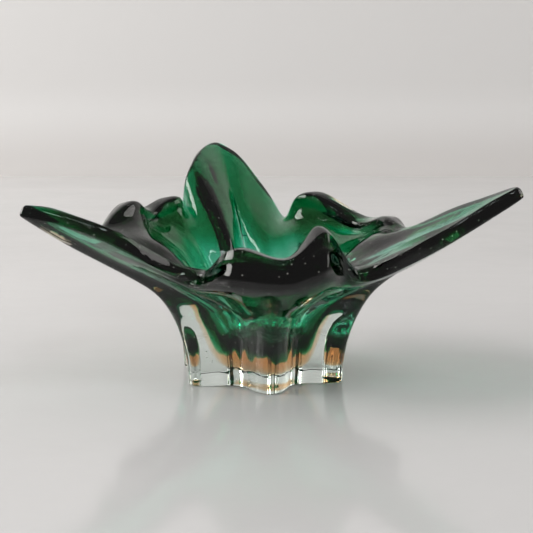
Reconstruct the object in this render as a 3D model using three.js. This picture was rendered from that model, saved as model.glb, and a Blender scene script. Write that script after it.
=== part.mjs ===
// A hand-worked art glass bowl in three fused layers of glass: a green bowl, an amber layer round it and a
// clear casing with a six-ribbed foot. The rim is pulled into three long arms, and between two arms it folds
// out and up into a curl with two horns and a saddle between them.
// Millimetres, +Z up. The origin is the middle of the foot's flat underside, and +Y points to the back.
import * as THREE from "three";

// ---------- driving dimensions ----------

const GAP = 0.3; // between two layers, which on the real bowl are fused

// The foot is a star of six ribs, one under each arm and one under each curl.
const RIBS = 6;
const ARMS = 3;
const FIRST_RIB = 96; // degrees, the rib under the back arm
const RIB_SHARPNESS = 1.5;
const FOOT = [
  // height, radius on a rib's crest, radius between two ribs
  { z: 0, crest: 48.4, valley: 32.8 },
  { z: 2.2, crest: 50.6, valley: 35 },
  { z: 20, crest: 53, valley: 36.5 },
  { z: 34, crest: 57.5, valley: 40 },
];
const SOLE = 0.5; // radius of the ring in the middle of the flat underside, as a share of the foot's
const FLARE = { z: 43, arm: 62, curl: 60, between: 46 }; // where the wall starts to lean out

// The rim, counter-clockwise from the tip of the back arm: azimuth in degrees, then reach and height in
// millimetres. Each third runs from one arm's tip over a curl to the next arm.
const RIM = [
  ["backTip", 104, 139, 125],
  ["backArm", 112.5, 118, 121],
  ["backArm", 118, 101, 109],
  ["valley", 124, 88, 90],
  ["horn", 135, 82, 101],
  ["saddle", 148, 84, 96],
  ["horn", 164, 83, 102],
  ["valley", 185, 91, 86],
  ["arm", 199, 103, 93],
  ["arm", 207, 131, 105.5],

  ["tip", 212, 150, 109],
  ["arm", 216.5, 136, 106],
  ["arm", 226, 117, 96.5],
  ["valley", 239, 70, 71.5],
  ["horn", 260, 83, 92],
  ["saddle", 279, 86, 86],
  ["horn", 293, 84, 100],
  ["valley", 309, 80, 71],
  ["arm", 320, 119, 89.5],
  ["arm", 329, 145, 109],

  ["tip", 334, 156, 117.5],
  ["arm", 338.5, 145, 113.5],
  ["arm", 347, 117, 101.5],
  ["valley", 1, 84, 85.5],
  ["horn", 20, 81, 94],
  ["saddle", 43, 84, 90],
  ["horn", 65, 77, 104],
  ["valley", 80, 90, 79],
  ["backArm", 91, 109, 98],
  ["backArm", 98.5, 130, 118.5],
];
// The folded lip under each part of a curl: how far out its ridge lies, and how far up from the undercut to
// the rim.
const LIP = {
  valley: { ridge: 74, foldHeight: 0.42 },
  horn: { ridge: 93, foldHeight: 0.36 },
  saddle: { ridge: 95, foldHeight: 0.4 },
};
const UNDERCUT = [59, 56, 59]; // height of the hollow under the lip in each third
// The wall over each part of the rim, at four levels from where it leaves the foot up to the rim: its
// thickness, how much further in the glass swells there towards the axis, and how far in through it the
// amber and the green glass begin, where 0 is the outside and 1 is the hollow.
const WALL = {
  tip: {
    thickness: [9, 12, 9, 7.2],
    swell: [6, 1, 0, 0],
    amber: [0.5, 0.26, 0.14, 0.16],
    green: [0.72, 0.66, 0.5, 0.36],
  },
  arm: {
    thickness: [9, 9, 7.4, 8.2],
    swell: [6, 2, 0, 0],
    amber: [0.5, 0.28, 0.18, 0.16],
    green: [0.72, 0.7, 0.68, 0.42],
  },
  backTip: {
    thickness: [9, 12, 12, 9],
    swell: [6, 2, 0, 0],
    amber: [0.5, 0.24, 0.12, 0.14],
    green: [0.72, 0.42, 0.26, 0.26],
  },
  backArm: {
    thickness: [9, 12, 11.5, 9],
    swell: [6, 4, 0, 0],
    amber: [0.5, 0.24, 0.12, 0.14],
    green: [0.72, 0.42, 0.26, 0.26],
  },
  valley: {
    thickness: [9, 11, 10, 8.4],
    swell: [8, 8, 3, 0],
    amber: [0.5, 0.26, 0.16, 0.16],
    green: [0.72, 0.46, 0.3, 0.3],
  },
  horn: {
    thickness: [9, 11, 13, 15],
    swell: [21, 18, 5, 0],
    amber: [0.46, 0.24, 0.14, 0.12],
    green: [0.62, 0.38, 0.26, 0.22],
  },
  saddle: {
    thickness: [9, 11, 12.5, 13],
    swell: [21, 20, 7, 0],
    amber: [0.46, 0.24, 0.14, 0.12],
    green: [0.62, 0.38, 0.26, 0.22],
  },
};
const FOOT_RISE = new THREE.Vector2(0.25, 0.97); // the wall's direction as it leaves the foot
const ARM_LEAN = new THREE.Vector2(0.8, 0.6); // and at the rim of an arm
const CURL_LEAN = new THREE.Vector2(0, 1); // and at the rim of a curl
const ARM_PULL = { foot: 0.17, rim: 0.4 }; // how long an arm keeps those directions, as shares of its length
const LIP_PULL = { below: 0.5, above: 0.7 }; // where a curl's line turns out to its ridge and back in again
// Where the glass turns over at the rim: the clear glass on the outside and the green on the inside.
const CLEAR_TURN = [0.07];
const GREEN_TURN = [0.7, 0.93];

// The rounded floor of each face on and between the layers, below the wall: heights and radii. The coloured
// glass hangs down in tongues, as deep as sag, one under every rib and one between every two ribs.
const HOLLOW_FLOOR = [{ z: 24, r: 0 }, { z: 24.6, r: 18 }, { z: 29, r: 28 }, { z: 42, r: 34 }];
const GREEN_FLOOR = [
  { z: 20.5, r: 0 },
  { z: 21, r: 16, sag: 1.2 },
  { z: 25.6, r: 27.6, sag: 9.5 },
  { z: 39.5, r: 36.4 },
];
const AMBER_FLOOR = [
  { z: 6, r: 0 },
  { z: 7, r: 20 },
  { z: 14.5, r: 31, sag: 1.5 },
  { z: 37, r: 37.6 },
];
const TONGUES = 2 * RIBS;

// ---------- the outer face of the wall ----------

const radians = THREE.MathUtils.degToRad;
const lerp = THREE.MathUtils.lerp;
const point = (azimuth, r, z) =>
  new THREE.Vector3(r * Math.cos(radians(azimuth)), r * Math.sin(radians(azimuth)), z);

// Stations: the rim's points, each over its place on the foot, with azimuths that only ever grow.
const STATIONS = RIM.map(([kind, azimuth, reach, height], k) => ({
  kind,
  ...WALL[kind],
  undercut: UNDERCUT[Math.floor((k * UNDERCUT.length) / RIM.length)],
  azimuth: azimuth < RIM[0][1] ? azimuth + 360 : azimuth,
  reach,
  height,
  foot: FIRST_RIB + (360 * k) / RIM.length,
}));

// Levels of the wall: how far up the line, and how far turned from the foot's azimuth to the rim's.
const LEVELS = [
  { up: 0.25, turn: 0.5 },
  { up: 0.5, turn: 0.9 },
  { up: 0.75, turn: 1 },
  { up: 1, turn: 1 },
];
const RIM_LEVEL = LEVELS.length - 1;

const MERIDIANS = 3 * STATIONS.length; // lines up the bowl, on which its points lie
const meridian = Array.from({ length: MERIDIANS }, (_, i) => i / MERIDIANS);

// 1 on a rib's crest and 0 halfway between two ribs.
function ribShare(azimuth) {
  return ((1 + Math.cos(RIBS * radians(azimuth - FIRST_RIB))) / 2) ** RIB_SHARPNESS;
}

function flareRadius(azimuth) {
  const armShare = (1 + Math.cos(ARMS * radians(azimuth - FIRST_RIB))) / 2;
  return lerp(FLARE.between, lerp(FLARE.curl, FLARE.arm, armShare), ribShare(azimuth));
}

// The outer line of the wall over one station, from the flare up to the outer edge of the rim.
function outerLine(s) {
  const start = new THREE.Vector2(flareRadius(s.foot), FLARE.z);
  const inArm = !(s.kind in LIP);
  const lean = inArm ? ARM_LEAN : CURL_LEAN;
  const outward = new THREE.Vector2(lean.y, -lean.x);
  const half = s.thickness[RIM_LEVEL] / 2;
  const end = new THREE.Vector2(s.reach, s.height)
    .addScaledVector(lean, -half)
    .addScaledVector(outward, half);
  if (inArm) {
    const span = start.distanceTo(end);
    const bottom = start.clone().addScaledVector(FOOT_RISE, ARM_PULL.foot * span);
    const top = end.clone().addScaledVector(ARM_LEAN, -ARM_PULL.rim * span);
    return new THREE.CubicBezierCurve(start, bottom, top, end);
  }
  const lip = LIP[s.kind];
  const fold = lerp(s.undercut, s.height, lip.foldHeight);
  return new THREE.SplineCurve([
    start,
    new THREE.Vector2(lerp(start.x, lip.ridge, LIP_PULL.below), s.undercut),
    new THREE.Vector2(lip.ridge, fold),
    new THREE.Vector2(lerp(lip.ridge, end.x, LIP_PULL.above), (fold + s.height) / 2),
    end,
  ]);
}

// One closed curve round the bowl at each level, as a point on each meridian.
const OUTER = LEVELS.map(({ up, turn }) => {
  const points = STATIONS.map((s) => {
    const { x, y } = outerLine(s).getPoint(up);
    return point(lerp(s.foot, s.azimuth, turn), x, y);
  });
  const curve = new THREE.CatmullRomCurve3(points, true, "centripetal");
  return meridian.map((t) => curve.getPoint(t));
});

// A value on each meridian at each level, with a smooth change from one station to the next.
const spread = (valueOf) =>
  LEVELS.map((_, level) =>
    meridian.map((t) => {
      const k = Math.floor(t * STATIONS.length);
      const share = THREE.MathUtils.smoothstep(t * STATIONS.length - k, 0, 1);
      return lerp(valueOf(STATIONS[k], level), valueOf(STATIONS[(k + 1) % STATIONS.length], level), share);
    }));
const THICKNESS = spread((s, level) => s.thickness[level]);
const SWELL = spread((s, level) => s.swell[level]);
const AMBER_SHARES = spread((s, level) => s.amber[level]);
const GREEN_SHARES = spread((s, level) => s.green[level]);

const footRow = (radius, z) =>
  meridian.map((t) => {
    const azimuth = FIRST_RIB + 360 * t;
    return point(azimuth, radius(azimuth), z);
  });
const FLARE_ROW = footRow(flareRadius, FLARE.z);

const smoothed = (directions) =>
  directions.map((d, i) =>
    d.clone().add(directions.at(i - 1)).add(directions[(i + 1) % MERIDIANS]).normalize());

// Directions on the outer face: up the meridian, and outward from the glass.
const UP = OUTER.map((row, level) => {
  const below = level > 0 ? OUTER[level - 1] : FLARE_ROW;
  const above = OUTER[Math.min(level + 1, RIM_LEVEL)];
  return row.map((_, i) => above[i].clone().sub(below[i]).normalize());
});
const OUTWARD = OUTER.map((row, level) => {
  const raw = row.map((_, i) => {
    const around = row[(i + 1) % MERIDIANS].clone().sub(row.at(i - 1));
    return around.cross(UP[level][i]).normalize();
  });
  return smoothed(smoothed(smoothed(raw)));
});

// From each point of the outer face, the way through the glass to the inner face.
const THROUGH = OUTER.map((row, level) =>
  row.map((p, i) => {
    const axisward = new THREE.Vector3(-p.x, -p.y, 0).normalize();
    return OUTWARD[level][i].clone()
      .multiplyScalar(-THICKNESS[level][i])
      .addScaledVector(axisward, SWELL[level][i]);
  }));

// A row of a face that lies a share of the way in through the wall on each meridian, and then a little
// deeper. At the rim the wall ends in a half round.
function wallRow(level, shareAt, inset = 0) {
  return OUTER[level].map((p, i) => {
    const through = THROUGH[level][i];
    const depth = shareAt(i) + inset / through.length();
    const across = 1 - 2 * depth;
    const rise = level === RIM_LEVEL ? Math.sqrt(Math.max(0, 1 - across * across)) : 0;
    return p.clone()
      .addScaledVector(through, depth)
      .addScaledVector(UP[level][i], (rise * THICKNESS[level][i]) / 2);
  });
}

// ---------- the rows of each face ----------

// The faces: each with its floor, and how far in through the wall it lies at each level and meridian.
const HOLLOW_FACE = { floor: HOLLOW_FLOOR, shareAt: () => 1 };
const GREEN_FACE = { floor: GREEN_FLOOR, shareAt: (level, i) => GREEN_SHARES[level][i] };
const AMBER_FACE = { floor: AMBER_FLOOR, shareAt: (level, i) => AMBER_SHARES[level][i] };

const wallRows = (shareAt, inset) =>
  LEVELS.map((_, level) => wallRow(level, (i) => shareAt(level, i), inset));

function floorRows(floor, inset) {
  const tongueShare = (azimuth) => (1 + Math.cos(TONGUES * radians(azimuth - FIRST_RIB))) / 2;
  return floor.slice(1).map(({ z, r, sag = 0 }) =>
    meridian.map((t) => {
      const azimuth = FIRST_RIB + 360 * t;
      return point(azimuth, r - inset, z + inset - sag * tongueShare(azimuth));
    }));
}

function outsideRows() {
  const crossSection = ({ crest, valley }) => (azimuth) => lerp(valley, crest, ribShare(azimuth));
  const foot = FOOT.map((f) => footRow(crossSection(f), f.z));
  const sole = footRow((azimuth) => SOLE * crossSection(FOOT[0])(azimuth), 0);
  return [sole, ...foot, footRow(flareRadius, FLARE.z), ...wallRows(() => 0, 0)];
}

// ---------- closed skins from rows ----------

// Rings on a smooth curve up each meridian: one at each row, and splits[k] - 1 between rows k and k + 1.
function rings(rows, splits) {
  const lines = meridian.map((_, i) =>
    new THREE.CatmullRomCurve3(rows.map((row) => row[i]), false, "catmullrom"));
  const steps = rows.slice(1).flatMap((_, k) =>
    Array.from({ length: splits[k] }, (_, m) => (k + m / splits[k]) / (rows.length - 1)));
  return [...steps, 1].map((t) => lines.map((line) => line.getPoint(t)));
}

// A layer's skin: a pole, its outer face up to the rim, its inner face down again, and another pole. Across
// a layer both faces are split along the same diagonals, so that neighbouring layers never cross.
function skin(outerRings, innerRings, firstPole, lastPole) {
  const ringList = [...outerRings, ...innerRings];
  const position = [...ringList.flat(), firstPole, lastPole].flatMap((p) => p.toArray());
  const index = [];
  const first = ringList.length * MERIDIANS;
  const last = first + 1;
  const top = (ringList.length - 1) * MERIDIANS;
  const turnBack = (outerRings.length - 1) * MERIDIANS;
  for (let i = 0; i < MERIDIANS; i++) {
    const j = (i + 1) % MERIDIANS;
    index.push(first, j, i);
    for (let row = 0; row < top; row += MERIDIANS) {
      const [a, b, c, d] = [row + i, row + j, row + j + MERIDIANS, row + i + MERIDIANS];
      index.push(...(row < turnBack ? [a, b, c, a, c, d] : [a, b, d, b, c, d]));
    }
    index.push(last, top + i, top + j);
  }
  const geometry = new THREE.BufferGeometry();
  geometry.setAttribute("position", new THREE.Float32BufferAttribute(position, 3));
  geometry.setIndex(index);
  geometry.computeVertexNormals();
  return geometry;
}

// How many rings there are from each row to the next, on the outside and on the other faces.
const OUTSIDE_SPLITS = [1, 1, 1, 1, 1, 2, 2, 2, 2];
const FACE_SPLITS = [1, 1, 2, 2, 2, 2];

const facePole = (floor, inset) => new THREE.Vector3(0, 0, floor[0].z + inset);

// The rings of a face between two layers, moved inwards by a gap where it is a layer's outer face.
function faceRings({ floor, shareAt }, inset) {
  const rows = [...floorRows(floor, inset), ...wallRows(shareAt, inset)];
  return rings(rows, FACE_SPLITS);
}

function layer(outerRings, outerPole, innerFace, turn) {
  const crest = turn.map((share) => wallRow(RIM_LEVEL, () => share));
  const inner = faceRings(innerFace, 0).reverse();
  return skin([...outerRings, ...crest], inner, outerPole, facePole(innerFace.floor, 0));
}

function glass(color, opacity) {
  const transparent = opacity < 1;
  return new THREE.MeshStandardMaterial({ color, opacity, transparent, roughness: 0.02, metalness: 0 });
}

function addPiece(group, name, geometry, material) {
  const mesh = new THREE.Mesh(geometry, material);
  mesh.name = name;
  group.add(mesh);
}

const group = new THREE.Group();
addPiece(
  group,
  "clear_casing",
  layer(rings(outsideRows(), OUTSIDE_SPLITS), new THREE.Vector3(0, 0, 0), AMBER_FACE, CLEAR_TURN),
  glass(0xe8ece9, 0.4),
);
addPiece(
  group,
  "amber_layer",
  layer(faceRings(AMBER_FACE, GAP), facePole(AMBER_FACE.floor, GAP), GREEN_FACE, []),
  glass(0xd9965a, 0.7),
);
addPiece(
  group,
  "green_bowl",
  layer(faceRings(GREEN_FACE, GAP), facePole(GREEN_FACE.floor, GAP), HOLLOW_FACE, GREEN_TURN),
  glass(0x0b5a3c, 0.85),
);

export default group;
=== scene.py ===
"""An art glass bowl on a pale table: a clear casing with a ribbed foot, an amber layer and a green bowl.

Each layer's fine surface is a smooth spline through the rings of points of its CAD solid. The clear casing
carries the outside and the hollow of the whole bowl, because the layers are fused: only there does light
bend. The coloured layers only absorb light. They lie under that surface, apart from some points about
halfway up the arms that come out of it by less than half a millimetre.
"""

import math

import bpy
import numpy as np
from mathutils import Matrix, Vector, noise
from mathutils.bvhtree import BVHTree


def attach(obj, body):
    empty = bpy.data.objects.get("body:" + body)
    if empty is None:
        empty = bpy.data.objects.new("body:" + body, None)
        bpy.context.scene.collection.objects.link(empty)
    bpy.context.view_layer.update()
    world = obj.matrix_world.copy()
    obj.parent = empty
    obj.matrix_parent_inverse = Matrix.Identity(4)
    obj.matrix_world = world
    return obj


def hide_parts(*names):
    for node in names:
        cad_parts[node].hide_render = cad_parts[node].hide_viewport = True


MM = 0.001

# ---------- the camera and its stage ----------

TARGET = Vector((0.0029, 0, 0.0645))
DISTANCE = 0.85
ELEVATION = math.radians(9.7)
LENS = 97.3

WALL = (0.85, 0.84, 0.83)
# colour of painted shade at the foot of the wall, in the crease above the table
WALL_FOOT_SHADE = (0.7, 0.68, 0.665)
TABLE_BACK = 1.1  # where the table ends behind the bowl: beyond any camera that looks at it from behind
SWEEP = 0.12  # radius of the curve from the table up to the wall
SWEEP_STEPS = 12
AIR_GAP = 0.0001  # between the table and the ground foot, so that the foot's underside mirrors light
ROOM = 3.0

# ---------- the glass ----------

AROUND = 4  # fine points per CAD point round the bowl
ALONG = 5  # and up the wall
SKIN = 0.15 * MM  # the least depth of the coloured layers under the surface
RIPPLE = 0.18 * MM
RIPPLE_LENGTH = 22 * MM
CALM = 4 * MM  # the ripples grow from nothing over this height above the table
GROOVE = 0.1 * MM  # depth of the fine grooves that pulling leaves up the wall
STREAK = 2.2 * MM  # how far the face between two layers swells into streaks up the wall
STREAKS_AROUND = 9  # streaks per radian
STREAK_CHANGES = 1.6  # how often a streak changes on its way up
THINNER = 0.4  # share of its thickness that the green glass loses where the wall leans out of the foot
THINNEST = 0.44  # where it loses most, on the way from the floor of its outer face to the rim
THIN_REACH = 0.13
TONGUE = 4 * MM  # how far the green glass is drawn down at the tips of its tongues
TONGUES = 12
FIRST_TONGUE = math.radians(96)
TONGUE_HEIGHT = 21 * MM  # where it is drawn down most
TONGUE_REACH = 9 * MM
TONGUE_RADIUS = 30 * MM  # nearer to the axis than this they fade away
TONGUE_POINT = 2.2  # how pointed the tongues are
GLASS_IOR = 1.5
KICK = 1.2 * MM  # how far the ground underside of the foot rises towards its middle
KICK_RADIUS = 30 * MM
UNDERSIDE = 0.5 * MM  # the foot's underside is what lies lower than this
SPECK_COLOUR = (0.75, 0.73, 0.68)
SPECKS_PER_METRE = 420
SPECK_RADIUS = 0.1  # of a cell of the pattern
SPECK_SHARE = 0.3  # of the cells


# ---------- rings of a CAD node ----------


def walk(start, second, ring, neighbours):
    """The points of a closed ring in order, from start by way of second."""
    order = [start, second]
    while len(order) < len(ring):
        order.append(next(n for n in neighbours[order[-1]] & ring if n not in order[-2:]))
    return order


def ring_after(previous, ring, neighbours, points):
    """The next ring, in step with the previous one: of the possible orders, the one that lies closest."""
    orders = [
        walk(start, second, ring, neighbours)
        for start in neighbours[previous[0]] & ring
        for second in neighbours[start] & ring
    ]
    return min(orders, key=lambda order: np.abs(points[order] - points[previous]).sum())


def node_rings(node):
    """A CAD node's points as rings x points x 3, from its outer pole round the rim to its inner pole.

    The heights of the two poles, which lie on the axis, come with them.
    """
    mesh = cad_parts[node].data
    corners = np.array([v.co for v in mesh.vertices])
    points, index = np.unique(np.round(corners, 6), axis=0, return_inverse=True)
    index = index.ravel()
    neighbours = [set() for _ in points]
    for polygon in mesh.polygons:
        face = [int(index[v]) for v in polygon.vertices]
        for a, b in zip(face, face[1:] + face[:1]):
            neighbours[a].add(b)
            neighbours[b].add(a)
    poles = sorted(range(len(points)), key=lambda k: -len(neighbours[k]))[:2]
    first, last = sorted(poles, key=lambda k: points[k][2])
    ring = set(neighbours[first])
    start = max(ring, key=lambda k: points[k][0])
    second = max(neighbours[start] & ring, key=lambda k: points[k][1])
    rings = [walk(start, second, ring, neighbours)]
    seen = {first, *ring}
    while True:
        ring = set().union(*(neighbours[k] for k in ring)) - seen
        if last in ring:
            break
        seen |= ring
        rings.append(ring_after(rings[-1], ring, neighbours, points))
    return points[np.array(rings)], float(points[first][2]), float(points[last][2])


def in_step(rings, other):
    """The rings turned about so that their first one is in step with another ring."""
    shifts = range(rings.shape[1])
    best = min(shifts, key=lambda k: np.abs(np.roll(rings[0], k, axis=0) - other).sum())
    return np.roll(rings, best, axis=1)


# ---------- smooth surfaces through rings ----------


def spline_weights(t):
    """Weights of four neighbouring points on a uniform cubic B-spline."""
    return np.array([(1 - t) ** 3, 3 * t**3 - 6 * t**2 + 4, -3 * t**3 + 3 * t**2 + 3 * t + 1, t**3]) / 6


def fine(points, factor, closed):
    """Points along the first axis on a smooth spline, with factor - 1 new ones between two old ones.

    A cubic B-spline cuts corners, so it is drawn from points moved out by as much as it would cut. Then it
    runs very nearly through the old ones.
    """
    count = len(points)

    def at(k, values):
        return values[k % count] if closed else values[np.clip(k, 0, count - 1)]

    old = np.arange(count)
    blurred = (at(old - 1, points) + 4 * points + at(old + 1, points)) / 6
    hull = points + (points - blurred)
    if not closed:
        hull[0], hull[-1] = points[0], points[-1]
    k, m = np.divmod(np.arange(count * factor if closed else (count - 1) * factor + 1), factor)
    weights = spline_weights(m / factor)
    return sum(w[:, None, None] * at(k + d, hull) for w, d in zip(weights, (-1, 0, 1, 2)))


def pole_row(ring, height):
    """A ring shrunk to nothing on the axis, as the start or end of a surface."""
    row = np.zeros_like(ring)
    row[:, 2] = height
    return row


def surface(rings, first_height, last_height):
    """A fine grid of points from pole to pole."""
    rows = [pole_row(rings[0], first_height), *rings, pole_row(rings[0], last_height)]
    grid = fine(np.array(rows), ALONG, False)
    return fine(grid.transpose(1, 0, 2), AROUND, True).transpose(1, 0, 2)[1:-1]


def normals(grid):
    around = np.roll(grid, -1, axis=1) - np.roll(grid, 1, axis=1)
    along = np.gradient(grid, axis=0)
    out = np.cross(around, along)
    return out / np.maximum(np.linalg.norm(out, axis=2, keepdims=True), 1e-12)


def closed_mesh(name, grid, first_pole, last_pole):
    """A closed body: two poles and the rings of quads between them."""
    rows, count, _ = grid.shape
    points = np.vstack([grid.reshape(-1, 3), [first_pole, last_pole]])
    first, last = rows * count, rows * count + 1
    i = np.arange(count)
    j = (i + 1) % count
    faces = []
    for row in range(rows - 1):
        a, b = row * count + i, row * count + j
        faces += np.stack([a, b, b + count, a + count], axis=1).tolist()
    faces += [[first, int(b), int(a)] for a, b in zip(i, j)]
    top = (rows - 1) * count
    faces += [[last, int(top + a), int(top + b)] for a, b in zip(i, j)]
    mesh = bpy.data.meshes.new(name)
    mesh.from_pydata(points.tolist(), [], faces)
    mesh.shade_smooth()
    piece = bpy.data.objects.new(name, mesh)
    bpy.context.scene.collection.objects.link(piece)
    return piece


# ---------- the three layers ----------


def rim_ring(rings):
    return int(np.argmax(rings[:, :, 2].mean(axis=1)))


def streaks(rows, count, seed):
    """A noise that changes fast round the bowl and slowly up it, from about -0.5 to 0.5."""
    values = np.zeros((rows, count, 1))
    for row in range(rows):
        height = seed + STREAK_CHANGES * row / rows
        for k in range(count):
            turn = 2 * math.pi * k / count
            around = STREAKS_AROUND * math.cos(turn), STREAKS_AROUND * math.sin(turn)
            values[row, k] = noise.noise(Vector((*around, height)))
    return values


def rippled(grid):
    """Hand-worked glass: the surface swells and sinks a little, except the ground underside of the foot."""
    rows, count, _ = grid.shape
    swell = np.array([[[noise.noise(Vector(p) / RIPPLE_LENGTH)] for p in ring] for ring in grid])
    height = np.clip(grid[:, :, 2:] / CALM, 0, 1)
    grid = grid + normals(grid) * (RIPPLE * swell + GROOVE * streaks(rows, count, 0)) * height
    grid[:, :, 2] = np.maximum(grid[:, :, 2], 0)
    return grid


def thinned_shifts(grid, rows):
    """How the first rows of the green glass's outer face draw in where the wall leans out of the foot."""
    place = np.linspace(0, 1, rows).reshape(-1, 1, 1)
    share = THINNER * np.exp(-(((place - THINNEST) / THIN_REACH) ** 2))
    return share * (grid[::-1][:rows] - grid[:rows])


def tongue_shifts(grid, rows):
    """How the first rows of the green glass's outer face are drawn down into pointed tongues."""
    x, y, z = np.moveaxis(grid[:rows], 2, 0)
    off_tip = np.abs(np.sin((np.arctan2(y, x) - FIRST_TONGUE) * TONGUES / 2))
    off_axis = np.clip(np.hypot(x, y) / TONGUE_RADIUS, 0, 1)
    near = np.exp(-(((z - TONGUE_HEIGHT) / TONGUE_REACH) ** 2))
    shifts = np.zeros_like(grid[:rows])
    shifts[:, :, 2] = -TONGUE * off_axis**2 * near * (1 - off_tip) ** TONGUE_POINT
    return shifts


def surface_tree(piece):
    """The faces of a piece, to find the one that is nearest to a point."""
    mesh = piece.data
    return BVHTree.FromPolygons([v.co for v in mesh.vertices], [p.vertices for p in mesh.polygons])


def kept_under(grid, casing, face_rows, first_skins, last_skins):
    """A coloured layer, with each point that would come too near the casing's surface moved in under it.

    Its outer face, which is the first rows, and the rest each stay their own number of skins deep, so that
    faces that both reach the surface mostly keep their order. Halfway up the arms some still cross.
    """
    moved = grid.copy()
    for row, k in np.ndindex(grid.shape[:2]):
        depth = SKIN * (first_skins if row < face_rows else last_skins)
        point = Vector(grid[row, k])
        near, outward, _, _ = casing.find_nearest(point)
        if (near - point).dot(outward) < depth:
            moved[row, k] = near - depth * outward
    return moved


def kicked_up(grid):
    """The underside of the foot, a shallow dome between its ground ribs."""
    radius = np.linalg.norm(grid[:, :, :2], axis=2)
    under = grid[:, :, 2] < UNDERSIDE
    grid[:, :, 2] += np.where(under, KICK * np.clip(1 - (radius / KICK_RADIUS) ** 2, 0, 1), 0)
    return grid


def streak_shifts(grid, rows, seed):
    """How a face's first rows move as its glass is drawn into streaks: least at its floor and its rim."""
    share = np.sin(np.linspace(0, math.pi, rows)).reshape(-1, 1, 1)
    return STREAK * share * streaks(rows, grid.shape[1], seed) * normals(grid)[:rows]


def add_piece(name, grid, first_height, last_height, material, slot, *replaced):
    piece = closed_mesh(name, grid, (0, 0, first_height), (0, 0, last_height))
    piece.data.materials.append(material)
    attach(piece, "root")
    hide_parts(*replaced)
    return piece


def build_bowl():
    casing, bottom, _ = node_rings("clear_casing")
    amber, amber_floor, amber_top = node_rings("amber_layer")
    green, green_floor, hollow_floor = node_rings("green_bowl")
    amber = in_step(amber, casing[0])
    green = in_step(green, casing[0])

    whole = np.concatenate([casing[: rim_ring(casing) + 1], green[rim_ring(green) :]])
    whole = kicked_up(rippled(surface(whole, bottom, hollow_floor)))
    clear = add_piece(
        "clear_casing_glass", whole, bottom + KICK, hollow_floor,
        clear_glass(), "clear_glass", "clear_casing",
    )

    amber = surface(amber, amber_floor, amber_top)
    green = surface(green, green_floor, hollow_floor)
    face_rows = len(amber) // 2
    outer_shifts = streak_shifts(amber, face_rows, 10)
    shared_shifts = streak_shifts(green, face_rows, 20) + thinned_shifts(green, face_rows)
    shared_shifts += tongue_shifts(green, face_rows)
    amber[:face_rows] += outer_shifts
    amber[-face_rows:] += shared_shifts[::-1]
    green[:face_rows] += shared_shifts
    casing_tree = surface_tree(clear)
    amber = kept_under(amber - SKIN * normals(amber), casing_tree, face_rows, 1, 2)
    green = kept_under(green - SKIN * normals(green), casing_tree, face_rows, 3, 1)
    add_piece(
        "amber_layer_glass", amber, amber_floor + SKIN, amber_top - SKIN,
        amber_glass(), "amber_glass", "amber_layer",
    )
    add_piece(
        "green_bowl_glass", green, green_floor + SKIN, hollow_floor - SKIN,
        green_glass(), "green_glass", "green_bowl",
    )


# ---------- materials ----------


def new_material(name):
    material = bpy.data.materials.new(name)
    material.use_nodes = True
    nodes = material.node_tree.nodes
    return material, nodes, material.node_tree.links, nodes["Principled BSDF"], nodes["Material Output"]


def noise_value(nodes, links, scale, detail, low, high):
    """A noise through the object, spread between two values."""
    place = nodes.new("ShaderNodeTexCoord")
    texture = nodes.new("ShaderNodeTexNoise")
    texture.inputs["Scale"].default_value = scale
    texture.inputs["Detail"].default_value = detail
    links.new(place.outputs["Object"], texture.inputs["Vector"])
    spread = nodes.new("ShaderNodeMapRange")
    spread.inputs["From Min"].default_value = 0.3
    spread.inputs["From Max"].default_value = 0.7
    spread.inputs["To Min"].default_value = low
    spread.inputs["To Max"].default_value = high
    links.new(texture.outputs["Fac"], spread.inputs["Value"])
    return spread.outputs["Result"]


def colour_between(nodes, links, factor, first, second):
    blend = nodes.new("ShaderNodeMix")
    blend.data_type = "RGBA"
    blend.inputs["A"].default_value = (*first, 1)
    blend.inputs["B"].default_value = (*second, 1)
    links.new(factor, blend.inputs["Factor"])
    return blend.outputs["Result"]


def add_bump(nodes, links, shader, height, distance):
    bump = nodes.new("ShaderNodeBump")
    bump.inputs["Strength"].default_value = 1.0
    bump.inputs["Distance"].default_value = distance
    links.new(height, bump.inputs["Height"])
    links.new(bump.outputs["Normal"], shader.inputs["Normal"])


def calculate(nodes, links, operation, first, second):
    node = nodes.new("ShaderNodeMath")
    node.operation = operation
    for socket, value in zip(node.inputs, (first, second)):
        if isinstance(value, (int, float)):
            socket.default_value = value
        else:
            links.new(value, socket)
    return node.outputs["Value"]


def specks(nodes, links):
    """1 on small pale dots and 0 between them: a dot in some of the cells of a random pattern."""
    place = nodes.new("ShaderNodeTexCoord")
    cells = nodes.new("ShaderNodeTexVoronoi")
    cells.inputs["Scale"].default_value = SPECKS_PER_METRE
    links.new(place.outputs["Object"], cells.inputs["Vector"])
    parts = nodes.new("ShaderNodeSeparateColor")
    links.new(cells.outputs["Color"], parts.inputs["Color"])
    near = calculate(nodes, links, "LESS_THAN", cells.outputs["Distance"], SPECK_RADIUS)
    chosen = calculate(nodes, links, "GREATER_THAN", parts.outputs["Red"], 1 - SPECK_SHARE)
    return calculate(nodes, links, "MULTIPLY", near, chosen)


def add_absorption(nodes, links, output, color, density):
    """Glass that takes some of the light away on its way through."""
    volume = nodes.new("ShaderNodeVolumeAbsorption")
    volume.inputs["Color"].default_value = (*color, 1)
    volume.inputs["Density"].default_value = density
    links.new(volume.outputs[0], output.inputs["Volume"])


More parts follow.
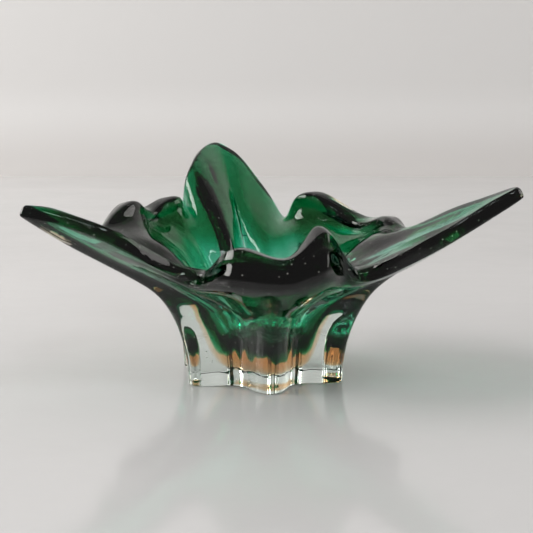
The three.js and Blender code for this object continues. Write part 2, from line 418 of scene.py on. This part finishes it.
def clear_glass():
    material, nodes, links, shader, output = new_material("clear_glass")
    speck_mask = specks(nodes, links)
    links.new(colour_between(nodes, links, speck_mask, (1, 1, 1), SPECK_COLOUR), shader.inputs["Base Color"])
    links.new(calculate(nodes, links, "SUBTRACT", 1, speck_mask), shader.inputs["Transmission Weight"])
    haze = noise_value(nodes, links, 60, 3, 0, 0.03)
    links.new(calculate(nodes, links, "ADD", haze, speck_mask), shader.inputs["Roughness"])
    add_bump(nodes, links, shader, noise_value(nodes, links, 90, 2, 0, 1), 0.1 * MM)
    shader.inputs["IOR"].default_value = GLASS_IOR
    add_absorption(nodes, links, output, (0.6, 0.72, 0.66), 12)
    return material


def tinted(name, color, density):
    """Coloured glass inside the clear glass: it takes some of the light away, and nothing bends there."""
    material, nodes, links, shader, output = new_material(name)
    streak = noise_value(nodes, links, 35, 4, 0, 1)
    tone = colour_between(nodes, links, streak, (1, 1, 1), (0.95, 0.97, 0.95))
    links.new(tone, shader.inputs["Base Color"])
    links.new(noise_value(nodes, links, 60, 3, 0, 0.03), shader.inputs["Roughness"])
    add_bump(nodes, links, shader, noise_value(nodes, links, 90, 2, 0, 1), 0.1 * MM)
    shader.inputs["IOR"].default_value = 1.0
    shader.inputs["Transmission Weight"].default_value = 1.0
    add_absorption(nodes, links, output, color, density)
    return material


def amber_glass():
    return tinted("amber_glass", (0.95, 0.62, 0.25), 48)


def green_glass():
    return tinted("green_glass", (0.0, 0.79, 0.64), 900)


def pale_surface(name, first, second, roughness):
    """A pale stone or painted surface with faint clouds of a second colour."""
    material, nodes, links, shader, _ = new_material(name)
    clouds = noise_value(nodes, links, 5, 5, 0, 1)
    links.new(colour_between(nodes, links, clouds, first, second), shader.inputs["Base Color"])
    uneven = noise_value(nodes, links, 12, 4, roughness - 0.04, roughness + 0.04)
    links.new(uneven, shader.inputs["Roughness"])
    add_bump(nodes, links, shader, noise_value(nodes, links, 40, 3, 0, 1), 0.05 * MM)
    return material


def wall_with_painted_shade():
    """A pale wall with painted shade: a little darker just above the table, where the two meet."""
    material = pale_surface("pale_wall_painted_shade", WALL_FOOT_SHADE, WALL_FOOT_SHADE, 0.8)
    nodes, links = material.node_tree.nodes, material.node_tree.links
    place = nodes.new("ShaderNodeTexCoord")
    parts = nodes.new("ShaderNodeSeparateXYZ")
    links.new(place.outputs["Object"], parts.inputs["Vector"])
    height = nodes.new("ShaderNodeMapRange")
    height.interpolation_type = "SMOOTHSTEP"
    height.inputs["From Min"].default_value = 0.01
    height.inputs["From Max"].default_value = 0.09
    links.new(parts.outputs["Z"], height.inputs["Value"])
    # painted shade: the wall's colour darkens towards the table
    blend = colour_between(nodes, links, height.outputs["Result"], WALL_FOOT_SHADE, WALL)
    links.new(blend, nodes["Principled BSDF"].inputs["Base Color"])
    return material


# ---------- the studio ----------


def add_stage():
    """A pale table that ends behind the bowl in a soft sweep up to a pale wall."""
    profile = [(-ROOM, -AIR_GAP), (TABLE_BACK, -AIR_GAP)]
    for k in range(1, SWEEP_STEPS + 1):
        a = math.radians(90 * k / SWEEP_STEPS)
        profile.append((TABLE_BACK + SWEEP * math.sin(a), SWEEP * (1 - math.cos(a))))
    profile.append((TABLE_BACK + SWEEP, ROOM))
    points = [(x, y, z) for x in (-ROOM, ROOM) for y, z in profile]
    count = len(profile)
    faces = [(k, k + count, k + count + 1, k + 1) for k in range(count - 1)]
    mesh = bpy.data.meshes.new("table_and_wall")
    mesh.from_pydata(points, [], faces)
    mesh.shade_smooth()
    sweep = bpy.data.objects.new("table_and_wall", mesh)
    bpy.context.scene.collection.objects.link(sweep)
    mesh.materials.append(pale_surface("pale_table", (0.72, 0.71, 0.705), (0.68, 0.67, 0.665), 0.14))
    mesh.materials.append(wall_with_painted_shade())
    for polygon in mesh.polygons[1:]:
        polygon.material_index = 1


def add_light(name, place, size, power, color):
    light = bpy.data.lights.new(name, "AREA")
    light.shape = "RECTANGLE"
    light.size, light.size_y = size
    light.energy = power
    light.color = color
    lamp = bpy.data.objects.new(name, light)
    lamp.location = place
    lamp.rotation_euler = (TARGET - Vector(place)).to_track_quat("-Z", "Y").to_euler()
    bpy.context.scene.collection.objects.link(lamp)
    return lamp


def add_lights():
    add_light("window", (-2.2, -0.1, 1.3), (1.6, 1.6), 60, (1, 0.98, 0.96))
    add_light("right_fill", (2.1, 0.3, 0.9), (1.4, 1.2), 12, (1, 0.97, 0.94))
    add_light("front_strip", (-0.15, -0.85, 1.2), (0.5, 0.06), 0.9, (0.9, 0.95, 1))
    add_light("front_patch", (0.7, -0.8, 1.3), (0.4, 0.4), 3, (0.9, 0.96, 1))
    world = bpy.data.worlds.new("studio")
    bpy.context.scene.world = world
    world.use_nodes = True
    background = world.node_tree.nodes["Background"]
    background.inputs["Color"].default_value = (1, 0.98, 0.965, 1)
    background.inputs["Strength"].default_value = 0.21


def add_camera():
    camera = bpy.data.cameras.new("camera")
    camera.lens = LENS
    holder = bpy.data.objects.new("camera", camera)
    back = Vector((0, -math.cos(ELEVATION), math.sin(ELEVATION)))
    holder.location = TARGET + DISTANCE * back
    holder.rotation_euler = back.to_track_quat("Z", "Y").to_euler()
    bpy.context.scene.collection.objects.link(holder)
    bpy.context.scene.camera = holder


def set_up_light_paths():
    """Light crosses many faces of glass before it leaves the bowl."""
    cycles = bpy.context.scene.cycles
    cycles.max_bounces = 40
    cycles.transmission_bounces = 40
    cycles.transparent_max_bounces = 40
    bpy.context.scene.view_settings.view_transform = "Standard"


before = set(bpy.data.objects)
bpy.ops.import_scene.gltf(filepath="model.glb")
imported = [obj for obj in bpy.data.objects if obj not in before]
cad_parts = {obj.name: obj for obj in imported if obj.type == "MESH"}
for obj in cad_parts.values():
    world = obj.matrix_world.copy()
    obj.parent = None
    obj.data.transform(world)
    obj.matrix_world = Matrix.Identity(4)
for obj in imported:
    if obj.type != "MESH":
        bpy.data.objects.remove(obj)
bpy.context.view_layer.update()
add_camera()
add_stage()
add_lights()
set_up_light_paths()
build_bowl()
